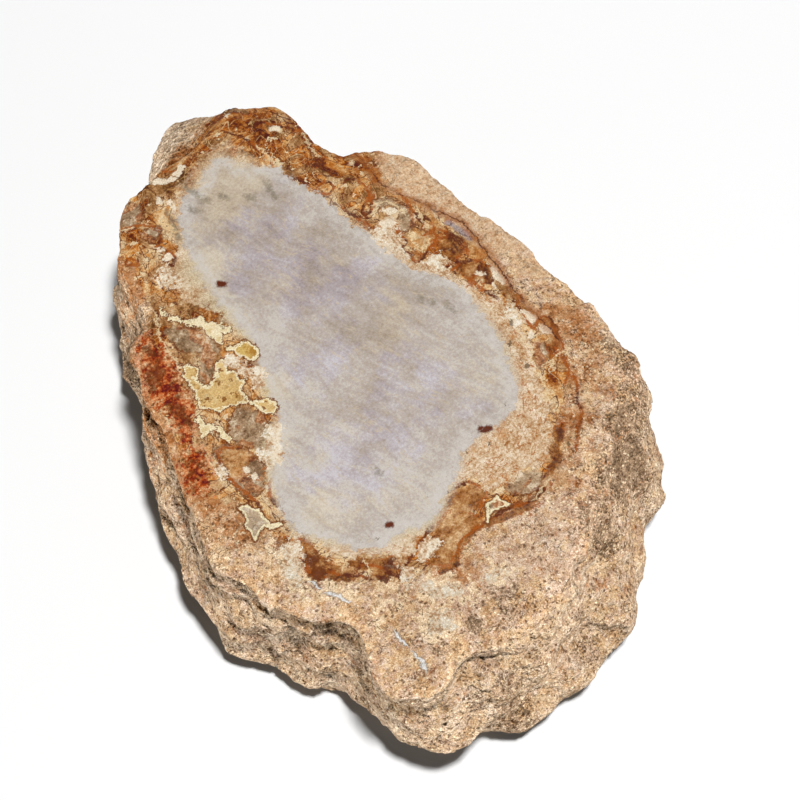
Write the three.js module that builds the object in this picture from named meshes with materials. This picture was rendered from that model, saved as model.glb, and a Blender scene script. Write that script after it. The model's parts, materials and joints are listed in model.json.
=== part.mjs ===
// A hand specimen of petrified wood: a short length of a small silicified log. It is one piece of stone,
// sawn across the grain above and below. The upper cut is polished; the side is the rough, weathered
// outside of the log, and the lower cut is the flat that it lies on.
//
// Millimetres, +Z up, the long way of the cut face along +Y. The origin is the middle of the bounding
// box, on the surface that the stone rests on.
import * as THREE from 'three';
import { ImprovedNoise } from 'three/addons/math/ImprovedNoise.js';

// Driving dimensions.
const HEIGHT = 24; // from the sawn underside to the polished face
const BELLY_HEIGHT = 8; // where the side stands out furthest, for the most part
const FOOT_INSET = 4; // how far the sawn underside lies inside a belly of that height
const COLUMNS = 184; // facets around the side
const ROWS = 21; // facets up the side
const MEAN_RADIUS = 42; // turns an angle on the side into a distance along it
const LUMP_HEIGHT = 0.9; // how far the highest lumps stand above the mean of the side

// The rim of the polished face, clockwise from the top of the long axis, as seen from above.
const RIM = [
  [1, 47.5], [6, 46], [8.5, 43], [10.5, 35], [12, 32.5], [15, 32], [18, 30], [21, 27.5],
  [23, 22], [25.5, 15], [28.5, 7.5], [29, 3], [31, -3.5], [33, -15], [33, -19.5], [31, -22.5],
  [22, -28.5], [18, -33], [14.5, -36.5], [8, -41.5], [3, -44], [-1.5, -45], [-10, -44.5],
  [-14, -47.5], [-17.5, -47], [-20.5, -45], [-21.5, -41.5], [-20.5, -35], [-22, -32],
  [-25.5, -30], [-31, -22], [-33, -17], [-32.5, -11], [-31, 3], [-31, 8], [-30, 13.5],
  [-28.5, 18], [-25.5, 22], [-25, 31], [-24, 34], [-20, 40], [-16, 42], [-9.5, 43.5], [-5.5, 45],
];

// The belly: the outline of the side where it stands out furthest, taken round the same way, over its
// highest lumps.
const BELLY = [
  [1.5, 50], [7.5, 48.5], [11, 45], [13, 37], [15, 35], [20.5, 33], [24, 29.5], [26, 24],
  [29, 16], [32, 8.5], [33, 3.5], [35, -4], [37, -12], [36.5, -17.5], [34, -22.5],
  [32, -27], [30.5, -34], [26, -38.5], [21, -43], [17.5, -46.5], [13.5, -48], [10.5, -48.5],
  [3.5, -51], [-2.5, -53], [-10, -51], [-15.5, -49.5], [-19, -47], [-21, -43], [-23, -37.5],
  [-27, -33.5], [-29, -30.5], [-32.5, -23.5], [-35, -20], [-36, -12], [-35, 0.5],
  [-33.5, 6.5], [-32, 13], [-29, 22], [-28, 29.5], [-25.5, 35], [-21, 41], [-15.5, 44], [-7, 47],
];

// Where the belly lies higher or lower than BELLY_HEIGHT: angle about +Z in degrees, spread and rise.
const BELLY_RISES = [
  { angle: 222, spread: 14, rise: -4 }, // the side is steep below the flat scar
  { angle: 251, spread: 6, rise: 4 }, // the nose hangs over
  { angle: 278, spread: 13, rise: -4 }, // and the side is steep again beyond it
];

// Knobs that stand proud of the side: angle about +Z in degrees, height, spread and how far out.
const KNOBS = [
  { angle: 97, height: 13.5, spread: 7, out: 8 }, // the grey knob behind the narrow end
  { angle: 251, height: 10, spread: 5, out: 1.6 }, // the nose below the spur
  { angle: 279, height: 6.5, spread: 3, out: 1.2 },
  { angle: 322, height: 10, spread: 8, out: 1 },
  { angle: 262, height: 17, spread: 4, out: 1.4 },
  { angle: 212, height: 8, spread: 6, out: 0.8 },
  { angle: 20, height: 12, spread: 9, out: 1.6 },
  { angle: 52, height: 9, spread: 7, out: 1.4 },
];

// Hollows in the side, given in the same way.
const HOLLOWS = [
  { angle: 236, height: 16, spread: 5.5, deep: 2.2 }, // the flat scar beside the spur
  { angle: 241, height: 12, spread: 4.5, deep: 1.6 },
  { angle: 268, height: 12, spread: 5, deep: 1.5 },
  { angle: 286, height: 17, spread: 5, deep: 1.2 },
  { angle: 306, height: 8, spread: 6, deep: 1.3 },
  { angle: 155, height: 13, spread: 7, deep: 1.1 },
  { angle: 36, height: 15, spread: 6, deep: 1.3 },
  { angle: 80, height: 10, spread: 6, deep: 1.6 },
];

// Open cracks and the undersides of ledges: from one point of the side to another.
const CRACKS = [
  { from: [229, 21.6], to: [238, 21.2], width: 0.9, deep: 1.7 }, // under the lip beside the spur
  { from: [238, 21.2], to: [242.5, 13], width: 1, deep: 1.8 },
  { from: [218, 21], to: [228, 18.5], width: 0.9, deep: 1.2 },
  { from: [205, 15], to: [222, 10], width: 1.1, deep: 1.1 },
  { from: [181, 17], to: [203, 12.5], width: 1.1, deep: 1 },
  { from: [247, 19.5], to: [256, 19], width: 1.1, deep: 1.3 }, // under the tip of the spur
  { from: [256, 21.5], to: [268, 20.5], width: 1, deep: 1.2 },
  { from: [283, 21.5], to: [294, 21], width: 0.9, deep: 1.1 },
  { from: [281, 14], to: [287, 12.5], width: 1, deep: 1 },
  { from: [128, 20], to: [137, 6], width: 1, deep: 1 },
  { from: [62, 20], to: [75, 5], width: 1.2, deep: 1.1 },
  { from: [5, 18], to: [24, 13], width: 1.1, deep: 1 },
];

const stone = new THREE.MeshStandardMaterial({ color: 0xc9a987, roughness: 0.75, metalness: 0 });

const noise = new ImprovedNoise();
const radians = THREE.MathUtils.degToRad;
const smooth = THREE.MathUtils.smoothstep;

// The signed turn from one angle to another, in radians.
function turn(from, to) {
  return Math.atan2(Math.sin(to - from), Math.cos(to - from));
}

// A smooth closed line through the points of an outline.
function outlineCurve(points) {
  const knots = points.map(([x, y]) => new THREE.Vector3(x, y, 0));
  return new THREE.CatmullRomCurve3(knots, true, 'centripetal');
}

// The radius of an outline as a function of the angle about +Z. Every outline here is met once by a ray
// from the middle.
function radiusOf(points) {
  const line = outlineCurve(points).getPoints(points.length * 16);
  return (angle) => {
    const ray = new THREE.Vector2(Math.cos(angle), Math.sin(angle));
    let radius = 0;
    for (let i = 0; i + 1 < line.length; i += 1) {
      const [a, b] = [line[i], line[i + 1]];
      const sideA = ray.x * a.y - ray.y * a.x;
      const sideB = ray.x * b.y - ray.y * b.x;
      if (sideA * sideB > 0 || sideA === sideB) continue;
      const t = sideA / (sideA - sideB);
      const along = ray.x * (a.x + (b.x - a.x) * t) + ray.y * (a.y + (b.y - a.y) * t);
      radius = Math.max(radius, along);
    }
    return radius;
  };
}

const rimRadius = radiusOf(RIM);
const bellyRadius = radiusOf(BELLY);

function bellyHeight(angle) {
  return BELLY_RISES.reduce((height, { angle: at, spread, rise }) => {
    return height + rise * Math.exp(-((turn(radians(at), angle) / radians(spread)) ** 2) / 2);
  }, BELLY_HEIGHT);
}

// The plain side, before its relief: a convex wall from the rim out to the belly, turning in to the foot.
function plainRadius(angle, z) {
  const rim = rimRadius(angle);
  const belly = bellyRadius(angle);
  const height = bellyHeight(angle);
  const inset = FOOT_INSET * (height / BELLY_HEIGHT);
  if (z < height) return belly - inset * (1 - z / height) ** 2;
  const up = (z - height) / (HEIGHT - height);
  return THREE.MathUtils.lerp(belly, rim, up ** 1.3);
}

function bump(angle, z, { angle: at, height, spread }) {
  const along = turn(radians(at), angle) * MEAN_RADIUS;
  return Math.exp(-(along ** 2 + (z - height) ** 2) / (2 * (spread * 0.7) ** 2));
}

// How far a point of the side is from a crack's line, as a share of the crack's width.
function crackShare(angle, z, { from, to, width }) {
  const start = radians(from[0]);
  const reach = [turn(start, radians(to[0])) * MEAN_RADIUS, to[1] - from[1]];
  const here = [turn(start, angle) * MEAN_RADIUS, z - from[1]];
  const dot = (here[0] * reach[0] + here[1] * reach[1]) / (reach[0] ** 2 + reach[1] ** 2);
  const t = THREE.MathUtils.clamp(dot, 0, 1);
  return Math.hypot(here[0] - reach[0] * t, here[1] - reach[1] * t) / width;
}

// Weathered layers: thin shelves that run round the side a little out of level, plainest on the -X side.
function layers(x, y, z) {
  const thickness = 5;
  const fall = 0.3; // the share of a layer's thickness that its upper edge takes
  const level = z + 0.05 * y + 1.8 * noise.noise(x / 13, y / 13, z / 13 + 5);
  const share = THREE.MathUtils.euclideanModulo(level, thickness) / thickness;
  const shelf = share < 1 - fall ? (share / (1 - fall)) ** 2 : smooth(1 - share, 0, fall);
  const strength = 0.35 + 0.65 * smooth(-x, -5, 25);
  return strength * 1.2 * (shelf - 0.4);
}

// All that stands out from or is worn into the plain side at a point, outwards positive.
function relief(angle, z) {
  const radius = plainRadius(angle, z);
  const [x, y] = [radius * Math.cos(angle), radius * Math.sin(angle)];
  const swells = 1.5 * noise.noise(x / 15, y / 15, z / 12);
  const lumps = 1.25 * noise.noise(x / 6.5, y / 6.5, z / 5 + 20);
  const grains = 0.7 * noise.noise(x / 3.6, y / 3.6, z / 3 + 40);
  const pits = -1.6 * smooth(noise.noise(x / 6.5, y / 6.5, z / 5.5 + 60), 0.15, 0.55);
  const knobs = KNOBS.reduce((sum, knob) => sum + knob.out * bump(angle, z, knob), 0);
  const hollows = HOLLOWS.reduce((sum, hollow) => sum - hollow.deep * bump(angle, z, hollow), 0);
  const cracks = CRACKS.reduce((sum, crack) => {
    return sum - crack.deep * Math.exp(-(crackShare(angle, z, crack) ** 2));
  }, 0);
  const rough = swells + lumps + grains + pits + layers(x, y, z) + hollows + cracks - LUMP_HEIGHT;
  // The saw trued the rim, so the roughness dies away towards it.
  const nearRim = smooth(z, HEIGHT - 3.5, HEIGHT);
  return rough * (1 - 0.65 * nearRim) + knobs * (1 - nearRim);
}

// The angles of the columns: evenly spaced along the rim.
function columnAngles() {
  const spots = outlineCurve(RIM).getSpacedPoints(COLUMNS).slice(0, COLUMNS);
  return spots.map((spot) => Math.atan2(spot.y, spot.x)).reverse();
}

// The heights of the rows: closer together towards the rim, where the edge is crisp.
function rowHeights() {
  const closing = 1.35;
  return Array.from({ length: ROWS + 1 }, (_, i) => HEIGHT * (1 - (1 - i / ROWS) ** closing));
}

// The whole stone as one closed skin: the side row by row, then the underside and the polished face.
function stoneGeometry() {
  const angles = columnAngles();
  const positions = [];
  for (const z of rowHeights()) {
    for (const angle of angles) {
      const radius = plainRadius(angle, z) + relief(angle, z);
      positions.push(radius * Math.cos(angle), radius * Math.sin(angle), z);
    }
  }
  const bottomMiddle = positions.length / 3;
  positions.push(0, 0, 0);
  const topMiddle = bottomMiddle + 1;
  positions.push(0, 0, HEIGHT);

  const faces = [];
  for (let row = 0; row < ROWS; row += 1) {
    for (let column = 0; column < COLUMNS; column += 1) {
      const next = (column + 1) % COLUMNS;
      const [a, b] = [row * COLUMNS + column, row * COLUMNS + next];
      const [c, d] = [a + COLUMNS, b + COLUMNS];
      // The diagonal alternates, so that the facets have no common slant.
      if ((row + column) % 2) faces.push(a, b, d, a, d, c);
      else faces.push(a, b, c, b, d, c);
    }
  }
  const top = ROWS * COLUMNS;
  for (let column = 0; column < COLUMNS; column += 1) {
    const next = (column + 1) % COLUMNS;
    faces.push(bottomMiddle, next, column);
    faces.push(topMiddle, top + column, top + next);
  }

  const geometry = new THREE.BufferGeometry();
  geometry.setAttribute('position', new THREE.Float32BufferAttribute(positions, 3));
  geometry.setIndex(faces);
  geometry.computeBoundingBox();
  const middle = geometry.boundingBox.getCenter(new THREE.Vector3());
  geometry.translate(-middle.x, -middle.y, 0);
  geometry.computeVertexNormals();
  return geometry;
}

const petrifiedWood = new THREE.Mesh(stoneGeometry(), stone);
petrifiedWood.name = 'petrified_wood';

const specimen = new THREE.Group();
specimen.add(petrifiedWood);
export default specimen;
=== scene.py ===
import json
import math

import bpy
import numpy as np
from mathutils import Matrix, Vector

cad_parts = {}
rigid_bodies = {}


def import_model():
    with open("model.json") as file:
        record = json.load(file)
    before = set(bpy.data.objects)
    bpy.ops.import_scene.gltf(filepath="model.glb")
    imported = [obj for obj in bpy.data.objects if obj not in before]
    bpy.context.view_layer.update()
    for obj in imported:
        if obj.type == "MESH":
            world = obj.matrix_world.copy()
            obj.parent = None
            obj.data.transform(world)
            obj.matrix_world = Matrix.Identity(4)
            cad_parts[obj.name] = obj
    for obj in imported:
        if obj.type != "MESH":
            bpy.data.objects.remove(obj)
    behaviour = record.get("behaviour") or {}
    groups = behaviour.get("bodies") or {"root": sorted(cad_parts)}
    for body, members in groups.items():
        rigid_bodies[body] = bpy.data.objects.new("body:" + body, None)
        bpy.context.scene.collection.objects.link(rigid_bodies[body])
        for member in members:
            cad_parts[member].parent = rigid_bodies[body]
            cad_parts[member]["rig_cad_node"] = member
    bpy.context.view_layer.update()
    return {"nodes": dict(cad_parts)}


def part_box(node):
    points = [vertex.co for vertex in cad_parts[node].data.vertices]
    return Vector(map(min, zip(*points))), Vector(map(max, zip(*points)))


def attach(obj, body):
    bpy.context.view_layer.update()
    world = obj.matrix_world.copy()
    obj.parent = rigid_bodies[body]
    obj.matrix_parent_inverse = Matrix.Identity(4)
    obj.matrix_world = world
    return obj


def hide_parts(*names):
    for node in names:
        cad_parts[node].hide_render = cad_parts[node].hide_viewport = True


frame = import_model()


# ---- The camera ----
# It looks down on the polished face from the side of the blunt end, with the narrow end turned
# away to the left, as one bends over a specimen on a table.
MM = 0.001
CAMERA_AZIMUTH = math.radians(-28)
CAMERA_ELEVATION = math.radians(63)
CAMERA_DISTANCE = 306 * MM
CAMERA_AIM = Vector((0.6 * MM, -7.4 * MM, 0))  # from the middle of the polished face
RIM_DEPTH = 0.01 * MM  # what lies no deeper than this below the face belongs to it

cad_stone = frame["nodes"]["petrified_wood"]
stone_low, stone_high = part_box("petrified_wood")
rim_points = [v.co for v in cad_stone.data.vertices if v.co.z > stone_high.z - RIM_DEPTH]
face_middle = Vector((
    (min(p.x for p in rim_points) + max(p.x for p in rim_points)) / 2,
    (min(p.y for p in rim_points) + max(p.y for p in rim_points)) / 2,
    stone_high.z,
))


def way_to(azimuth, elevation):
    """The way to a place around the stone; azimuth 0 is the front, elevation 90 degrees overhead."""
    return Vector((
        math.sin(azimuth) * math.cos(elevation),
        -math.cos(azimuth) * math.cos(elevation),
        math.sin(elevation),
    ))


to_camera = way_to(CAMERA_AZIMUTH, CAMERA_ELEVATION)
bpy.ops.object.camera_add(location=face_middle + CAMERA_AIM + to_camera * CAMERA_DISTANCE)
camera = bpy.context.active_object
camera.name = "camera"
camera.rotation_euler = (-to_camera).to_track_quat("-Z", "Y").to_euler()
camera.data.lens = 100
camera.data.sensor_width = 36
camera.data.clip_start = 0.01
bpy.context.scene.camera = camera


# ---- The stone's shape ----
# It is one piece of silicified log, sawn above and below. Its side is weathered: lumpy, pitted
# and sandy, with thin open cracks, and its rim is chipped.
SKIN_CELL = 0.48 * MM  # the spacing of the finished skin's points
SEAM = 0.001 * MM  # points of the plain form that are no farther apart are one point
WEIGHT_STEPS = 32  # how finely the weights of a vertex group are told apart
DOWNWARDS = -0.999  # the upright part of the normal of a facet that looks straight down
UNDERSIDE = 0.1 * MM  # facets that look down and lie lower than this are the underside's

bpy.ops.object.select_all(action="DESELECT")
cad_stone.select_set(True)
bpy.context.view_layer.objects.active = cad_stone
bpy.ops.object.duplicate()
stone = bpy.context.active_object
stone.name = "petrified_wood_finished"
stone.data.name = "petrified_wood_finished"
stone.parent = None
del stone["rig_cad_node"]

bpy.ops.object.mode_set(mode="EDIT")
bpy.ops.mesh.select_all(action="SELECT")
bpy.ops.mesh.remove_doubles(threshold=SEAM)
bpy.ops.mesh.normals_make_consistent(inside=False)
bpy.ops.object.mode_set(mode="OBJECT")


def finish_with(kind, **settings):
    """Adds a modifier to the stone with these settings and applies it."""
    modifier = stone.modifiers.new(kind.lower(), kind)
    for name, value in settings.items():
        setattr(modifier, name, value)
    bpy.ops.object.modifier_apply(modifier=modifier.name)


def skin(what="co"):
    """The skin's points, or its normals, as rows of x, y and z."""
    values = np.empty(len(stone.data.vertices) * 3)
    stone.data.vertices.foreach_get(what, values)
    return values.reshape(-1, 3)


def ease(values, low, high):
    """0 at low, 1 at high and a smooth step between them."""
    share = np.clip((values - low) / (high - low), 0, 1)
    return share * share * (3 - 2 * share)


def weigh(name, weights):
    """A vertex group of the stone, from one weight for each point."""
    group = stone.vertex_groups.new(name=name)
    for level in range(1, WEIGHT_STEPS + 1):
        chosen = np.nonzero(np.rint(weights * WEIGHT_STEPS) == level)[0]
        group.add(chosen.tolist(), level / WEIGHT_STEPS, "REPLACE")


def select_faces(wanted):
    """Goes into edit mode with only the faces selected for which wanted(face) is true."""
    bpy.ops.object.mode_set(mode="EDIT")
    bpy.ops.mesh.select_mode(type="FACE")
    bpy.ops.mesh.select_all(action="DESELECT")
    bpy.ops.object.mode_set(mode="OBJECT")
    for face in stone.data.polygons:
        face.select = wanted(face)
    bpy.ops.object.mode_set(mode="EDIT")


finish_with("REMESH", mode="VOXEL", voxel_size=SKIN_CELL, use_smooth_shade=True)

# The sawn underside needs fewer points than the rest.
select_faces(lambda face: face.normal.z < DOWNWARDS and face.center.z < UNDERSIDE)
bpy.ops.mesh.select_less()
bpy.ops.mesh.unsubdivide(iterations=2)
bpy.ops.object.mode_set(mode="OBJECT")

# The facets of the plain form are rubbed down, which also rounds the rim.
weigh("above_foot", ease(skin()[:, 2], 0.2 * MM, 1.2 * MM))
finish_with("SMOOTH", factor=0.5, iterations=4, vertex_group="above_foot")
plain = skin()
normals = skin("normal")


def nearest(points, lines, closed=True):
    """Each point's distance in mm from the nearest of these lines. It is less than 0 inside a closed
    line and to the right of an open one."""
    gap = np.full(len(points), np.inf)
    inside = np.zeros(len(points), bool)
    x, y = points[:, 0], points[:, 1]
    for line in lines:
        crossed = np.zeros(len(points), bool)
        for (ax, ay), (bx, by) in zip(line, line[1:] + line[:1] if closed else line[1:]):
            along = ((x - ax) * (bx - ax) + (y - ay) * (by - ay)) / ((bx - ax) ** 2 + (by - ay) ** 2)
            along = np.clip(along, 0, 1)
            this_gap = (x - ax - along * (bx - ax)) ** 2 + (y - ay - along * (by - ay)) ** 2
            if not closed:
                on_right = (bx - ax) * (y - ay) < (by - ay) * (x - ax)
                inside = np.where(this_gap < gap, on_right, inside)
            elif ay != by:
                crossed ^= ((ay > y) != (by > y)) & (x < ax + (y - ay) * (bx - ax) / (by - ay))
            gap = np.minimum(gap, this_gap)
        inside |= crossed
    return np.where(inside, -1, 1) * np.sqrt(gap)


# How far in from the rim each point of the face lies, in mm.
CLEAR_OF_RIM = 5  # in mm; points of the face that are nearer to its middle are not on its rim
rim = {(round((p.x - face_middle.x) / MM, 2), round((p.y - face_middle.y) / MM, 2)) for p in rim_points}
rim_line = [p for p in rim if math.hypot(*p) > CLEAR_OF_RIM]
rim_line.sort(key=lambda p: math.atan2(p[1], p[0]))
flat = (plain - np.array(face_middle))[:, :2] / MM
in_from_rim = -nearest(flat, [rim_line])

# Where each kind of wear acts, and how strongly: lumps and cracks on the left above all, pits on the
# right, and the rim is the most worn at the blunt end.
height = plain[:, 2]
side = ease(stone_high.z - height, 0.15 * MM, 1.6 * MM) * ease(height, 0.3 * MM, 1.5 * MM)
to_right = flat[:, 0] - 0.2 * flat[:, 1]
weigh("side", side)
weigh("lumpy_side", side * (1 - 0.7 * ease(to_right, -8, 12)))
weigh("left_side", side * ease(-flat[:, 0] - 0.3 * flat[:, 1], 4, 22))
weigh("right_side", side * ease(to_right, -8, 10))
rubbed = ease(in_from_rim, 4.5, -0.5) * 0.7 + ease(in_from_rim, 1.6, 0) * 0.3
blunt_end = ease(flat[:, 1], 25, -5)
weigh("rim_band", ease(height, 17 * MM, 22 * MM) * ease(in_from_rim, 2.6, 0.3) * (0.4 + 0.4 * blunt_end))
weigh("rim", ease(height, 15 * MM, 23 * MM) * rubbed * (0.45 + 0.55 * blunt_end))


def press(name, group, size, depth, stretch=(1, 1, 1), middle=0.5, ramp=None, direction="NORMAL",
          **settings):
    """Presses a cloudy pattern into the skin; a ramp gives where it begins and where it ends."""
    pattern = bpy.data.textures.new(name, "CLOUDS")
    pattern.noise_scale = 1
    for key, value in settings.items():
        setattr(pattern, key, value)
    if ramp:
        pattern.use_color_ramp = True
        for step, position, shade in zip(pattern.color_ramp.elements, ramp, (0, 1)):
            step.position = position
            step.color = (shade, shade, shade, 1)
    gauge = bpy.data.objects.new(name, None)
    bpy.context.scene.collection.objects.link(gauge)
    gauge.scale = Vector(stretch) * size
    bpy.context.view_layer.update()
    finish_with(
        "DISPLACE", texture=pattern, texture_coords="OBJECT", texture_coords_object=gauge,
        vertex_group=group, strength=depth, mid_level=middle, direction=direction,
    )
    bpy.data.objects.remove(gauge)


press("ragged_rim", "rim_band", size=2.4 * MM, depth=0.6 * MM, direction="RGB_TO_XYZ",
      cloud_type="COLOR", noise_depth=2)
press("weathered_lumps", "lumpy_side", size=3.0 * MM, depth=0.65 * MM, noise_depth=3)
press("crumbs", "side", size=1.2 * MM, depth=0.5 * MM, noise_depth=2)
press("pits", "right_side", size=1.2 * MM, depth=-0.6 * MM, middle=0, ramp=(0.62, 0.72))
press("cracks", "left_side", size=1.3 * MM, depth=-0.6 * MM, stretch=(1.4, 1.4, 0.8), middle=0,
      ramp=(0.62, 0.7))
relief = np.einsum("ij,ij->i", skin() - plain, normals) / MM
relief -= np.median(relief[side > 0.9])
press("rubbed_rim", "rim", size=4.5 * MM, depth=-1.6 * MM, middle=0, ramp=(0.2, 0.75),
      direction="Z", noise_depth=1)
press("rim_chips", "rim", size=1.3 * MM, depth=-0.6 * MM, middle=0, ramp=(0.5, 0.65),
      direction="Z", noise_depth=1)

# Nothing of the finish stands out of the stone's measured box.
stone.data.vertices.foreach_set("co", np.clip(skin(), stone_low, stone_high).ravel())
stone.data.update()


def mark(name, values):
    """Keeps one number for each of the stone's points, under this name, for the finish to read."""
    marks = stone.data.attributes.new(name, "FLOAT", "POINT")
    marks.data.foreach_set("value", np.asarray(values, dtype=np.float32))


mark("relief", relief * side)
# How steep the skin stands; the rind's finish paints steep places lighter, as painted light.
mark("steep", ease(normals[:, 2], 0.9, 0.1))
mark("edge", ease(np.hypot(in_from_rim, (stone_high.z - height) / MM), 2.4, 0.3))


# ---- The zones of the cut ----
# A pale core of chalcedony stands where the heartwood was, in a cream margin, a rusty agate ring
# and a tan rind of silicified sand. Outlines are in mm from the middle of the face, seen from above.
CORE_EDGE = [
    (-6, 39.5), (-3.5, 40), (-2, 37.5), (1, 35.5), (3, 34), (3.5, 31.5), (5.5, 28.5), (6.5, 26.5),
    (7.5, 21.5), (9.5, 18), (11, 13.5), (12, 10.5), (15.5, 6.5), (17, 3.5), (17, -0.5), (17.5, -5),
    (16.5, -10), (15.5, -14), (13.5, -16), (11, -17), (7.5, -17.5), (4.5, -18.5), (2, -21),
    (-0.5, -22.5), (-2.5, -24.5), (-5, -25.5), (-8.5, -25), (-11.5, -25.5), (-14.5, -24.5),
    (-17.5, -21.5), (-20.4, -18.5), (-21, -15.5), (-20.8, -12), (-20.2, -9.6), (-18.8, -6.8),
    (-17.6, -4), (-15.2, -2), (-15, 1.4), (-14.6, 4.2), (-14, 7), (-13, 9.6), (-13.5, 12), (-14.5, 17),
    (-15, 21.5), (-15, 26.5), (-14.5, 31), (-12, 36), (-8.5, 37),
]
MARGIN_EDGE = [
    (-8.5, 40), (-5.5, 42), (-2, 42), (0, 39.5), (1, 36), (3.5, 33.5), (4, 30), (6.5, 25.5), (8, 21),
    (10, 18.5), (12, 19.5), (14, 18.5), (13, 15.5), (12.5, 11.5), (14, 10.5), (16, 10.5), (16.5, 8),
    (17.5, 4.5), (19, 2.5), (21, -1), (21.5, -4), (21, -7.5), (20, -11.5), (19, -16), (18, -19),
    (16, -22.5), (13.5, -25), (10.5, -25), (7, -25.5), (4.5, -24.5), (3.5, -22.5), (1.5, -22.5),
    (-1, -23.5), (-3.5, -26), (-7, -27), (-9, -28.5), (-11, -29.5), (-11, -27), (-13, -26.5),
    (-17, -24.5), (-19, -21.5), (-20.5, -18), (-21.5, -15), (-21.5, -12), (-21, -9.5), (-18.5, -6.5),
    (-18, -4.5), (-15, -3), (-14, -0.5), (-15.5, 2.5), (-13.5, 6.5), (-13, 9), (-14.5, 13),
    (-16, 17.5), (-18.5, 20), (-19, 23.5), (-17.5, 27.5), (-15.5, 30), (-14, 35), (-11, 38.5),
]
RING_EDGE = [
    (-24.5, 35), (-23, 30), (-23.5, 25), (-24, 21), (-27, 18), (-28.5, 14.5), (-29.5, 10), (-29.5, 6),
    (-29.5, 2), (-30.5, -2), (-30, -6), (-28, -10), (-26, -11.5), (-24.5, -15.5), (-23, -19.5),
    (-22.5, -24), (-20, -26.5), (-16, -29), (-12, -30.5), (-9, -31.5), (-5.5, -32), (-3.5, -30.5),
    (0, -29.5), (3, -29), (7.5, -29), (11, -28.5), (14, -26.5), (16.5, -24.5), (19, -20),
    (22.5, -15.5), (24, -11.5), (24.5, -8), (24, -4), (23, 0.5), (22.5, 4.5), (22.5, 8), (22, 11.5),
    (20.5, 15), (18.5, 18.5), (17, 21.5), (15.5, 25.5), (16, 29), (15.5, 32), (13.5, 34), (12.5, 46.5),
    (-0.5, 53.5), (-16.5, 48),
]
RED_PATCHES = [
    [(-27.5, 18), (-25.5, 17.5), (-24.5, 15.5), (-24.5, 12.5), (-24.5, 8.5), (-25, 5.5), (-26.5, 1.5),
     (-28, -0.5), (-29, 0), (-28.5, 3), (-29, 6), (-29.5, 8.5), (-29.5, 11), (-28.5, 14.5)],
    [(-29.6, -0.4), (-27.2, -1.2), (-27, -4), (-27.8, -7), (-29.2, -8), (-30.6, -6.6), (-31, -4)],
]
LACE = [
    [(-23.4, 11.2), (-22.8, 11.4), (-22.2, 10.6), (-21.8, 9.8), (-22.2, 9.4), (-23, 9), (-22.8, 8),
     (-22.4, 7.2), (-21.6, 7), (-20.8, 7.4), (-20.2, 8), (-19.6, 8.6), (-19.4, 9.4), (-18.8, 9.8),
     (-18, 9.8), (-18, 9.2), (-18.4, 8.6), (-18.4, 7.8), (-17.6, 7.4), (-17.4, 6.2), (-17, 5.6),
     (-16.4, 5.4), (-16.6, 5), (-17.8, 4.6), (-18.4, 4.2), (-17.8, 3), (-17.6, 2.4), (-18.2, 2.2),
     (-20, 2.6), (-21, 2.6), (-22.4, 2.8), (-23.2, 3.4), (-23.8, 4), (-24.2, 4.6), (-24, 5.4),
     (-24, 6.2), (-23.8, 7.2), (-24, 8.2), (-24.2, 10), (-23.8, 10.6)],
    [(-18, 2), (-16.8, 1.8), (-16, 1.4), (-15.4, 1.2), (-14.8, 0.6), (-14.6, -0.4), (-15.2, -0.8),
     (-16, -0.8), (-16.6, -0.6), (-17, 0.2), (-17.6, 1.2)],
]
LACE_STRIP = [
    [(-22.4, 21.2), (-21.8, 20.2), (-21.2, 19.2), (-20.8, 18.2), (-20, 17.6), (-18, 17.4),
     (-17.6, 16.2), (-16.8, 15.6), (-15.8, 14.6), (-15.2, 14), (-15.2, 13.4), (-15.8, 13.4),
     (-16.4, 13.8), (-17, 12.8), (-17.2, 12.2), (-17.6, 12.6), (-18, 14), (-18.4, 15.4), (-19, 16),
     (-20.2, 17.2), (-20.8, 17.8), (-21.6, 18.6), (-22.6, 20.6)],
    [(-25.6, 3.2), (-25, 3.4), (-24.8, 2.2), (-24.2, 1.4), (-23.4, 0.8), (-23, 0), (-23.1, -1),
     (-22.6, -1.8), (-23, -2.1), (-23.5, -1.2), (-23.6, -0.2), (-23.9, 0.4), (-24.8, 0.8),
     (-25.2, 0.2), (-26, 0.2), (-25.5, 1.4), (-25.5, 2.4)],
]
GOLD_LOBE = [
    (-17, 11.2), (-16.4, 11.2), (-15.6, 10.8), (-14.8, 11), (-14.2, 11), (-13.6, 10.2), (-13.4, 9.6),
    (-13.4, 8.6), (-13.8, 7.8), (-14.4, 7.6), (-15, 8), (-15.2, 8.6), (-15.8, 9.2), (-16.4, 10.4),
    (-17.2, 10.8),
]
OPEN_STARS = [
    [(-26.2, -11.6), (-25, -11.6), (-24.4, -12.8), (-23.8, -13), (-23.8, -14.4), (-23.4, -15.6),
     (-21.8, -16.4), (-23.8, -16.4), (-24.2, -15.4), (-25.8, -16.4), (-26.4, -17), (-26.2, -15.6),
     (-26.6, -14.6), (-26, -13.6), (-26, -12.4)],
    [(3.6, -26.6), (4.6, -26.7), (5.3, -26.2), (5.4, -27), (5.9, -27.6), (6.4, -28.4), (5.2, -28.1),
     (4.2, -28), (3.4, -28.1), (2.4, -29), (3, -27.8)],
]
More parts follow.
